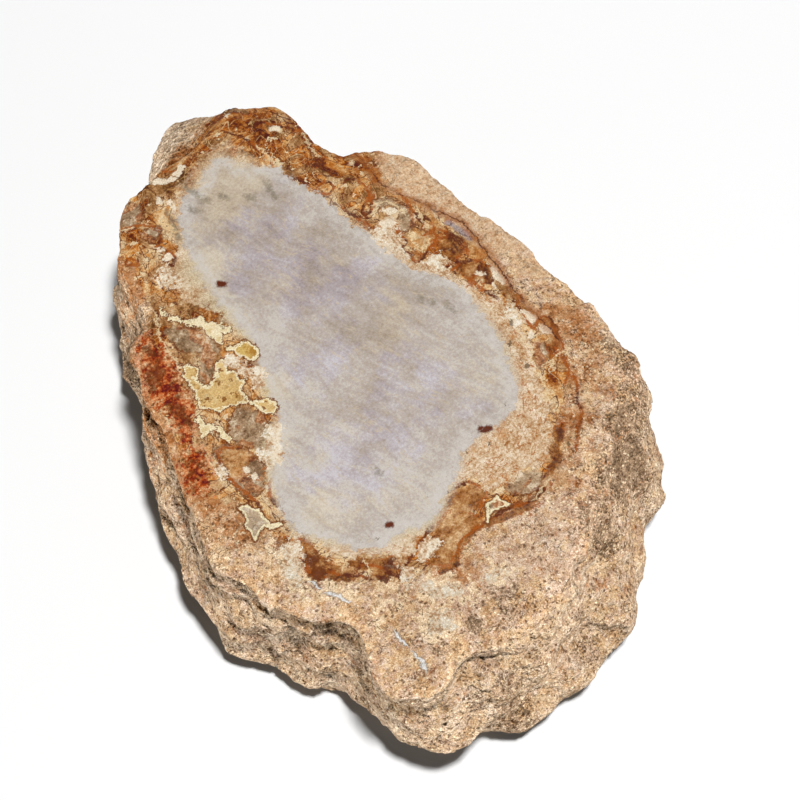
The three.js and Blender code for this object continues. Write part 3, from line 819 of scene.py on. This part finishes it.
tree = rind = bpy.data.node_groups.new("rind_stone", "ShaderNodeTree")
for label in ("Rust", "Soot", "Pale", "Blush", "Grey", "Steep", "Edge", "Recess_Shade"):
    rind.interface.new_socket(label, in_out="INPUT", socket_type="NodeSocketFloat")
for label, kind in (("Color", "Color"), ("Height", "Float"), ("Roughness", "Float")):
    rind.interface.new_socket(label, in_out="OUTPUT", socket_type="NodeSocket" + kind)
given = rind.nodes.new("NodeGroupInput").outputs
place = add("ShaderNodeTexCoord", {}, "Object")
mottle = clouds(place, 3.2, 3)
blotch = clouds(place, 1.0, 3, 0.62)
speck = clouds(place, 0.3, 1)
dust = clouds(place, 0.15, 1)
crazing = clouds(place, 1.7, 2, 0.55, 0.8)
grains = cells(place, 0.42)
pores = cells(place, 0.8)
strokes = cells(stretched(place, (1.7, 1.7, 0.8)), 0.6)

# The sand is yellow or pink, dusty on the dry side, and stained by rust, soot and lime.
tone = summed(0.57, (mottle[0], 0.5), (blotch[0], 0.55), (speck[2], 0.35), (grains[1][0], 0.12))
yellow = toned(tone, (140, 94, 52), (188, 142, 98), (214, 172, 128), (230, 194, 152), (248, 220, 182))
pink = toned(tone, (136, 96, 70), (182, 142, 112), (206, 170, 140), (222, 190, 162), (242, 216, 190))
dusty = toned(tone, (104, 84, 66), (150, 128, 104), (178, 154, 128), (200, 178, 152), (228, 208, 182))
rusty = toned(tone, (112, 56, 22), (150, 88, 46), (178, 118, 72), (200, 148, 104), (226, 186, 148))
sooty = toned(tone, (62, 50, 38), (99, 80, 61), (135, 110, 86), (170, 141, 113), (203, 173, 143))
limy = over(between(tone, 0.35, 0.65), (214, 178, 138), (250, 222, 184))
pink_share = plus(summed(0.5, (blotch[1], 1.0), (mottle[1], 1.0)), given["Blush"], 0.25)
dusty_share = stronger(times(given["Steep"], 0.7), given["Grey"])
rust_share = plus(summed(0.04, (blotch[2], 2.4), (mottle[1], 2.2)), given["Rust"], 1.15)
rust_share = maths("SUBTRACT", rust_share, given["Grey"])
soot_share = plus(summed(0.0, (speck[1], 2.8), (blotch[2], -1.8)), given["Soot"])
lime_share = plus(summed(0.0, (blotch[1], -1.8), (mottle[2], 1.0)), given["Pale"], 0.7)

# Pores and short cracks between the grains, pale crumbs, and painted shade where the skin lies deep in its
# recesses.
pore = times(dots(pores, 0, 0.3, 0.34), between(blotch[1], 0.44, 0.54, 0.05, 1.0))
pore = stronger(pore, dots(grains, 1, 0.09, 0.55))
stroke = times(dots(strokes, 0, 0.14, 0.42), between(given["Steep"], 0, 0.6, 0.4, 1.0))
pore = stronger(pore, stroke)
crack = times(hairline(crazing[0], 0.5, 0.014), between(mottle[2], 0.5, 0.56))
pore = stronger(pore, crack)
crumb = stronger(dots(pores, 1, 0.12, 0.32), dots(grains, 2, 0.08, 0.5))
recess_shade = plus(summed(0.0, (blotch[0], -0.8)), given["Recess_Shade"])
colour = layered(
    yellow,
    (between(pink_share, 0.4, 0.64), pink),
    (dusty_share, dusty),
    (between(rust_share, 0.2, 0.95), rusty),
    (between(soot_share, 0.3, 0.75), sooty),
    (between(lime_share, 0.46, 0.5), limy),
    (times(pore, 0.75), (104, 68, 42)),
    (times(crumb, 0.7), (250, 226, 186)),
    (between(recess_shade, 0.4, 1.0, 0.0, 0.6), (96, 64, 42)),
)

# The side is painted lighter the steeper it stands and in its grey places, which makes up for the dimmer
# light that reaches the walls and the knob: painted light. The worn rim is paler.
specks = summed(1.02, (dust[0], 1.5), (speck[0], 0.6), (grains[1][2], 0.2))
light = plus(plus(plus(1.1, given["Steep"], 0.5), given["Grey"], 0.64), given["Edge"], 0.12)
lumps = summed(0.0, (mottle[0], 0.5), (blotch[0], 0.5), (speck[0], 0.06))
connect({
    "Color": shaded(speckled(colour, specks), [light] * 3),
    "Height": plus(plus(lumps, grains[0], -0.05), pore, -0.09),
    "Roughness": between(blotch[0], 0.3, 0.7, 0.75, 0.95),
}, rind.nodes.new("NodeGroupOutput").inputs)


def stone_finish(name, gloss):
    """A new material of this gloss, its node tree and its shader."""
    finish = bpy.data.materials.new(name)
    finish.use_nodes = True
    shader = finish.node_tree.nodes["Principled BSDF"]
    shader.inputs["Specular IOR Level"].default_value = gloss
    return finish, finish.node_tree, shader


def kept(name):
    """The number that the stone's points keep under this name."""
    return add("ShaderNodeAttribute", {}, "Fac", attribute_name=name)


def place_rind():
    """Places the rind in the material in hand and gives it the stone's kept numbers."""
    names = ("rust", "soot", "pale", "blush", "grey", "steep", "edge")
    # Deep relief feeds the rind's painted shade in recesses.
    inputs = {**{name.title(): kept(name) for name in names}, "Recess_Shade": times(kept("relief"), -1.0)}
    return add("ShaderNodeGroup", inputs, node_tree=rind).node.outputs


def bumps(height, depth):
    """The surface's normals with bumps of this height, up to this depth."""
    return add("ShaderNodeBump", {"Height": height, "Strength": 1.0, "Distance": depth})


weathered, tree, shader = stone_finish("weathered_side", 0.02)
side_stone = place_rind()
connect({
    "Base Color": side_stone["Color"],
    "Roughness": side_stone["Roughness"],
    "Normal": bumps(side_stone["Height"], 2.8 * MM),
}, shader.inputs)


# ---- The cut face ----
# It is ground flat and polished, so the core shines a little, the ring less, and the open grain
# of the rind stays dull.
FULL_WAVE = 5  # a noise strays about 0.2 from its middle, so this makes its waves about 1 deep
DRAWN_OUT = 0.45  # how closely the ring's bands follow x and y, less than 1 for longer ones
GRAIN_TURN = math.radians(-62)  # the way in which the old grain runs across the core

polished, tree, shader = stone_finish("cut_face", 0.045)
place = add("ShaderNodeTexCoord", {}, "Object")
rind_stone = place_rind()
broad = clouds(place, 5.0, 3)
ragged = clouds(place, 1.4, 4, 0.62)
fine = clouds(place, 0.42, 2, 0.7)
grain = clouds(place, 0.17, 1)
smooth = clouds(place, 7, 0)


def frayed(name, coarse, small):
    """A kept distance in mm with its line frayed by coarse and small waves, about this deep."""
    waves = summed(0.0, (ragged[0], coarse * FULL_WAVE), (fine[1], small * FULL_WAVE))
    return maths("ADD", waves, kept(name))


def within(distance, edge=0.0, softness=0.2):
    """1 inside the line, 0 outside it, with a soft edge."""
    return between(distance, edge + softness, edge - softness)


def drawn(name, width, coarse=0.25, small=0.15):
    """1 on the kept open line, which is this wide in mm to each side and wavers a little."""
    line = within(maths("ABSOLUTE", frayed(name, coarse, small)), width, 0.1)
    return times(line, within(kept("near_" + name), 0.7, 0.3))


# Rind: peach along the ring's right side, and streaks of rust.
across = add("ShaderNodeSeparateXYZ", {0: place}).node.outputs
ring_place = add("ShaderNodeCombineXYZ", {
    0: times(across[0], DRAWN_OUT), 1: times(across[1], DRAWN_OUT), 2: times(kept("ring"), MM),
})
bands = clouds(ring_place, 2.2, 2, 0.5, 0.4)
streak_share = plus(times(ragged[0], 0.4), bands[2], 0.6)
streak_share = times(kept("rust"), between(streak_share, 0.5, 0.53))
streak_share = times(streak_share, between(kept("peach"), 0.2, 0.8, 0.8, 0.3))
streak = toned(ragged[1], (124, 66, 28), (164, 98, 50), (190, 124, 72), (208, 148, 96), (228, 184, 138))
peach_tone = summed(0.52, (ragged[0], 0.7), (fine[0], 0.9))
peach = toned(peach_tone, (180, 130, 90), (214, 168, 126), (232, 194, 154), (242, 210, 174), (250, 230, 198))
face = layered(rind_stone["Color"], (times(kept("peach"), 0.9), peach), (streak_share, streak))

# Ring: iron oxides and clear brown agate in bands that follow the old bark. Their noise is laid out
# by how far each place is from the ring's outer line, so that it runs along the ring.
ring_line = frayed("ring", 0.8, 0.25)
ring_tone = summed(0.58, (broad[0], 0.5), (bands[0], 1.1), (ragged[1], 0.35), (fine[0], 0.6))
ring_tone = plus(ring_tone, kept("deep"), -0.15)
iron = toned(ring_tone, (94, 42, 12), (150, 80, 30), (188, 120, 60), (214, 159, 100), (242, 206, 155))
glassy = toned(ring_tone, (106, 70, 36), (152, 107, 63), (182, 136, 88), (206, 164, 118), (236, 208, 166))
orange = toned(ring_tone, (132, 60, 14), (180, 98, 34), (208, 132, 60), (226, 166, 98), (242, 202, 148))
winding = clouds(place, 4.6, 1, 0.45, 1.4)
glass_patch = plus(winding[0], kept("deep"), -0.05)
ring_colour = layered(
    iron,
    (between(winding[1], 0.55, 0.57, 0.0, 0.8), orange),
    (between(glass_patch, 0.505, 0.52, 0.0, 0.9), glassy),
)
for pattern, level, width, share, line_colour in (
    (bands[1], 0.5, 0.014, 0.9, (98, 46, 18)), (bands[1], 0.56, 0.01, 0.7, (226, 182, 126)),
    (glass_patch, 0.508, 0.009, 0.9, (104, 50, 20)), (glass_patch, 0.54, 0.006, 0.6, (190, 110, 50)),
    (glass_patch, 0.57, 0.006, 0.7, (118, 66, 32)), (winding[1], 0.558, 0.008, 0.7, (236, 200, 150)),
    (winding[2], 0.52, 0.007, 0.9, (96, 44, 18)), (winding[2], 0.48, 0.006, 0.6, (226, 180, 120)),
):
    ring_colour = over(times(hairline(pattern, level, width), share), ring_colour, line_colour)
fleck = times(between(ragged[2], 0.6, 0.61), between(broad[2], 0.45, 0.55))
ring_colour = layered(
    ring_colour,
    (times(fleck, 0.95), (242, 216, 174)),
    (between(fine[2], 0.36, 0.33, 0.0, 0.85), (78, 38, 18)),
)
face = over(times(within(ring_line, 0, 0.5), rest(kept("grey"))), face, ring_colour)

# Red: deep red and rust in blotches, thinning out towards the edges.
red_line = frayed("red", 1.2, 0.4)
red_tone = summed(0.5, (ragged[1], 1.4), (fine[0], 1.0))
rust = toned(red_tone, (104, 46, 16), (150, 80, 36), (184, 116, 70), (208, 150, 104), (238, 196, 154))
deep_red = toned(red_tone, (104, 32, 10), (150, 54, 19), (182, 80, 35), (205, 112, 59), (231, 160, 106))
rust_patch = plus(summed(0.5, (ragged[1], 2.0), (broad[0], 1.0)), red_line, -0.5)
red_patch = plus(summed(0.5, (ragged[2], 2.0), (broad[1], 1.0)), red_line, -0.3)
brown_patch = plus(summed(0.5, (ragged[0], 2.0), (broad[2], 1.2)), red_line, -0.16)
red_border = times(within(off(red_line, 0.5), 0.2, 0.15), between(broad[2], 0.44, 0.54, 0.0, 0.8))
face = layered(
    face,
    (between(rust_patch, 0.42, 0.5, 0.0, 0.95), rust),
    (between(red_patch, 0.6, 0.72, 0.0, 0.9), deep_red),
    (between(brown_patch, 0.68, 0.8, 0.0, 0.7), (108, 58, 26)),
    (red_border, (230, 152, 108)),
)

# Agate: clear grey-brown and amber patches and brown domes inside the ring, and a little lavender.
agate_line = frayed("agate", 0.5, 0.2)
agate_tone = summed(0.5, (ragged[2], 0.9), (bands[1], 0.6), (fine[2], 0.7))
agate = layered(
    toned(agate_tone, (116, 90, 64), (150, 120, 90), (172, 142, 110), (192, 164, 132), (228, 208, 180)),
    (between(winding[1], 0.53, 0.56, 0.0, 0.8), rust),
    (between(ragged[1], 0.64, 0.67, 0.0, 0.7), (238, 222, 196)),
    (between(fine[2], 0.36, 0.32, 0.0, 0.7), (96, 62, 34)),
)
agate_edge = times(hairline(agate_line, 0.1, 0.25), between(broad[0], 0.45, 0.56, 0.2, 0.9))
dome_line = maths("ADD", frayed("domes", 0.5, 0.4), summed(0.0, (bands[0], 4.0)))
dome_tone = summed(0.47, (broad[1], 0.6), (bands[0], 0.9), (ragged[0], 0.8), (fine[2], 0.6))
dome = toned(dome_tone, (94, 46, 16), (146, 86, 38), (174, 116, 64), (200, 150, 98), (236, 198, 150))
dome_edge = times(hairline(dome_line, 0.0, 0.3), between(broad[2], 0.45, 0.55, 0.0, 0.7))
amber = toned(agate_tone, (152, 88, 40), (192, 128, 66), (216, 158, 96), (230, 184, 128), (244, 216, 168))
lavender = over(hairline(ragged[0], 0.5, 0.03), (176, 160, 158), (106, 76, 70))
face = layered(
    face,
    (times(within(agate_line, 0, 0.3), 0.9), agate),
    (agate_edge, (118, 64, 28)),
    (times(within(dome_line, 0, 0.25), 0.85), dome),
    (dome_edge, (176, 92, 38)),
    (times(within(frayed("amber", 0.7, 0.3), 0, 0.35), 0.7), amber),
    (within(frayed("lavender", 0.3, 0.15), 0, 0.3), lavender),
)

# Margin: cream chalcedony with thin brown squiggles, straw yellow and smoother on the left. Thin lines
# of rust and of cream wind over it and the ring, and a pale halo runs along the core.
margin_line = frayed("margin", 0.9, 0.35)
cream_tone = summed(0.55, (broad[1], 0.4), (bands[0], 0.4), (ragged[1], 0.8), (fine[0], 0.9))
squiggle = clouds(ring_place, 1.2, 2, 0.5, 0.5)
squiggle_share = stronger(hairline(squiggle[0], 0.5, 0.019), hairline(squiggle[1], 0.54, 0.014))
squiggle_share = times(squiggle_share, between(ragged[2], 0.4, 0.54, 0.1, 0.9))
tan_share = plus(times(ragged[2], 0.5), bands[2], 0.5)
cream = layered(
    toned(cream_tone, (156, 102, 58), (198, 152, 106), (218, 184, 146), (232, 206, 172), (248, 228, 202)),
    (between(tan_share, 0.55, 0.59, 0.0, 0.6), (212, 160, 108)),
    (squiggle_share, (182, 112, 56)),
    (kept("straw"), toned(
        cream_tone, (172, 142, 104), (200, 174, 140), (215, 193, 158), (224, 204, 170), (234, 217, 188),
    )),
    (times(kept("deep"), 0.8), ring_colour),
)
rust_line_share = times(drawn("rust_line", 0.24), between(fine[1], 0.4, 0.5, 0.55, 0.95))
rust_line_colour = over(between(broad[1], 0.46, 0.54), (100, 48, 20), (172, 90, 36))
core_line = frayed("core", 0.6, 0.35)
halo = times(between(core_line, 1.6, 0.3), between(ragged[0], 0.4, 0.55, 0.2, 0.9))
halo = times(halo, between(kept("light"), 0.0, 0.8, 0.25, 1.0))
halo = times(halo, rest(kept("deep")))
face = layered(
    face,
    (within(margin_line, 0, 0.3), cream),
    (rust_line_share, rust_line_colour),
    (times(drawn("cream_line", 0.17, 0.5, 0.25), 0.7), (250, 222, 176)),
    (halo, over(kept("straw"), (218, 202, 180), (222, 204, 164))),
)

# Core: warm grey to faint lavender with fine streaks along the old grain, fading into straw yellow on
# the left and with a pale feathery fringe on the right.
core_edge = maths("DIVIDE", core_line, between(kept("straw"), 0, 1, 0.35, 1.6))
drift = add("ShaderNodeCombineXYZ", {axis: summed(0.0, (smooth[axis], 3 * MM)) for axis in (0, 1)})
drifted = add("ShaderNodeVectorMath", {0: place, 1: drift}, operation="ADD")
streaks = clouds(stretched(drifted, (6, 1, 1), GRAIN_TURN), 1.0, 3, 0.5)
core_tone = summed(0.48, (broad[0], 0.45), (ragged[0], 0.25), (fine[0], 0.6), (streaks[0], 0.4))
core_tone = plus(core_tone, kept("light"), 0.2)
grey = toned(core_tone, (166, 150, 134), (180, 165, 150), (190, 176, 164), (201, 189, 179), (216, 207, 196))
blue = toned(core_tone, (163, 149, 147), (178, 165, 166), (189, 177, 178), (200, 191, 193), (216, 209, 213))
straw = toned(core_tone, (180, 160, 138), (196, 178, 156), (208, 192, 170), (216, 202, 180), (228, 216, 198))
blue_share = plus(summed(0.08, (broad[2], 2.2), (ragged[1], 0.5), (streaks[1], 0.5)), kept("blue"), 0.55)
straw_share = summed(-0.12, (streaks[2], 1.2), (ragged[0], 0.8), (smooth[2], 1.4))
straw_share = plus(straw_share, kept("straw"), 0.9)
wisp = times(hairline(streaks[2], 0.52, 0.02), between(ragged[2], 0.44, 0.54, 0.0, 0.7))
fringe = between(summed(0.5, (ragged[1], 1.6), (fine[1], 1.2)), 0.35, 0.65, 0.4, 0.9)
fringe = times(between(core_line, -2.8, -0.4), fringe)
speckle = times(between(fine[2], 0.66, 0.7), between(ragged[2], 0.5, 0.6))
core = layered(
    grey,
    (between(blue_share, 0.25, 0.8), blue),
    (between(straw_share, 0.1, 0.8), straw),
    (wisp, (214, 196, 168)),
    (fringe, (220, 213, 205)),
    (times(speckle, 0.5), (150, 122, 96)),
)
smudge = times(within(frayed("near_smudges", 0.3, 0.3), 0.4, 0.4), 0.6)
face = layered(face, (within(core_edge, 0, 0.55), core), (smudge, (128, 118, 100)))

# Lace: yellow chalcedony and open stars of clear stone, in a cream line with a thin brown edge.
lace_line = frayed("lace", 0.35, 0.25)
strip_line = frayed("strip", 0.4, 0.3)
gold_line = frayed("gold", 0.3, 0.2)
stars_line = frayed("stars", 0.2, 0.14)
any_lace = maths("MINIMUM", maths("MINIMUM", lace_line, strip_line), maths("MINIMUM", gold_line, stars_line))
lace_tone = summed(0.5, (broad[1], 0.5), (ragged[1], 0.5), (fine[0], 0.6))
lace = layered(
    toned(lace_tone, (178, 132, 70), (210, 168, 104), (226, 188, 124), (236, 202, 140), (248, 224, 172)),
    (between(ragged[2], 0.6, 0.62, 0.0, 0.9), (140, 84, 36)),
)
star = over(between(ragged[1], 0.45, 0.55), (196, 170, 140), (224, 206, 182))
face = layered(
    face,
    (within(any_lace, 0.3, 0.12), (128, 72, 34)),
    (within(lace_line, 0, 0.1), lace),
    (within(strip_line, 0, 0.1), over(between(ragged[0], 0.4, 0.6), (232, 204, 152), (254, 238, 200))),
    (within(gold_line, 0, 0.1), over(between(ragged[1], 0.42, 0.58), (186, 136, 60), (226, 190, 112))),
    (within(stars_line, 0, 0.1), over(between(across[0], -5 * MM, 5 * MM), star, agate)),
    (within(maths("ABSOLUTE", maths("ADD", any_lace, 0.1)), 0.16, 0.1), (254, 238, 196)),
)

# Cream patches, chips of white quartz, dark patches, spots and specks.
crumbs = toned(red_tone, (190, 146, 106), (222, 192, 158), (238, 216, 186), (247, 231, 205), (254, 243, 222))
face = layered(
    face,
    (within(frayed("cream", 0.9, 0.7), 0.1, 0.15), crumbs),
    (within(frayed("chips", 0.3, 0.15), 0.12, 0.12), (248, 230, 202)),
    (times(within(frayed("dark", 0.9, 0.3), 0.2, 0.25), 0.85), (118, 64, 34)),
    (within(frayed("near_spots", 0.12, 0.12), 0.52, 0.2), (106, 54, 38)),
    (times(within(frayed("near_specks", 0.25, 0.25), 0.2, 0.12), 0.8), (104, 80, 56)),
)

# The fracture along the ring's outer side, and short white veins at the blunt end, each with a painted grey
# shade along it.
stained = maths("ADD", kept("near_fracture"), summed(0.0, (ragged[0], 2.0)))
crack_share = times(drawn("fracture", 0.1), between(broad[0], 0.42, 0.52, 0.3, 0.95))
face = layered(
    face,
    (between(stained, 1.2, 0.1, 0.0, 0.6), (172, 100, 48)),
    (crack_share, (84, 42, 24)),
    (times(drawn("veins", 0.36), 0.6), (138, 122, 108)),
    (drawn("veins", 0.18), (246, 243, 238)),
)

grain_share = between(core_line, -0.5, 0.5, 0.35, 1.2)
polish = stronger(within(core_line, 0, 0.5), times(within(margin_line, 0, 0.5), 0.7))
polish = stronger(polish, times(within(ring_line, 0, 0.6), 0.6))
connect({
    "Base Color": speckled(face, plus(1.0, summed(0.0, (grain[0], 1.0)), grain_share)),
    "Roughness": add("ShaderNodeMix", {0: polish, 2: rind_stone["Roughness"], 3: 0.42}),
    "Normal": bumps(plus(times(rind_stone["Height"], rest(polish)), ragged[2], 0.015), 1.5 * MM),
}, shader.inputs)

# The facets that look up and lie near the top are the polished face's.
UPWARDS = 0.5  # the least upright part of their normals
WORN_DEPTH = 3 * MM  # how far down the worn rim of the face reaches
stone.data.materials.clear()
stone.data.materials.append(weathered)
stone.data.materials.append(polished)
for facet in stone.data.polygons:
    polished_facet = facet.normal.z > UPWARDS and facet.center.z > stone_high.z - WORN_DEPTH
    facet.material_index = 1 if polished_facet else 0

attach(stone, "root")
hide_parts("petrified_wood")


# ---- The table top ----
# It is a plain, nearly white sheet that the stone lies on. Its own value is low, because the lamps
# are strong.
TABLE_WIDTH = 3  # in metres, far past the edges of the view
SHEET_VALUE = 0.25

bpy.ops.object.select_all(action="DESELECT")
bpy.ops.mesh.primitive_plane_add(size=TABLE_WIDTH, location=(0, 0, 0))
table_top = bpy.context.active_object
table_top.name = "table_top"
sheet = bpy.data.materials.new("white_sheet")
sheet.use_nodes = True
sheet_shader = sheet.node_tree.nodes["Principled BSDF"]
sheet_shader.inputs["Base Color"].default_value = (SHEET_VALUE, SHEET_VALUE, SHEET_VALUE, 1)
sheet_shader.inputs["Roughness"].default_value = 0.9
sheet_shader.inputs["Specular IOR Level"].default_value = 0.03
table_top.data.materials.append(sheet)


# ---- The light ----
# A small lamp hangs nearly overhead, a little to the right. Low, wide cards on the right, on the
# left and behind light the weathered side, and the room around them is nearly dark.
LAMP_DISTANCE = 1.0
ROOM_STRENGTH = 0.04


def lamp(name, azimuth, elevation, wide, tall, power):
    """A lamp that shines at the stone, with its azimuth in degrees counted from the camera's side."""
    way = way_to(CAMERA_AZIMUTH + math.radians(azimuth), math.radians(elevation))
    bpy.ops.object.light_add(type="AREA", location=face_middle + way * LAMP_DISTANCE)
    made = bpy.context.active_object
    made.name = name
    made.rotation_euler = (-way).to_track_quat("-Z", "Y").to_euler()
    made.data.shape = "RECTANGLE"
    made.data.size = wide
    made.data.size_y = tall
    made.data.energy = power
    made.visible_camera = False


lamp("key_lamp", azimuth=46, elevation=79, wide=0.1, tall=0.1, power=40)
lamp("right_card", azimuth=65, elevation=0.5, wide=0.8, tall=0.045, power=23)
lamp("left_card", azimuth=-55, elevation=0.5, wide=0.8, tall=0.045, power=25)
lamp("back_card", azimuth=180, elevation=5, wide=0.8, tall=0.08, power=6)
room = bpy.data.worlds.new("white_room")
room.use_nodes = True
room.node_tree.nodes["Background"].inputs["Color"].default_value = (1, 1, 1, 1)
room.node_tree.nodes["Background"].inputs["Strength"].default_value = ROOM_STRENGTH
bpy.context.scene.world = room
bpy.context.scene.view_settings.view_transform = "Standard"
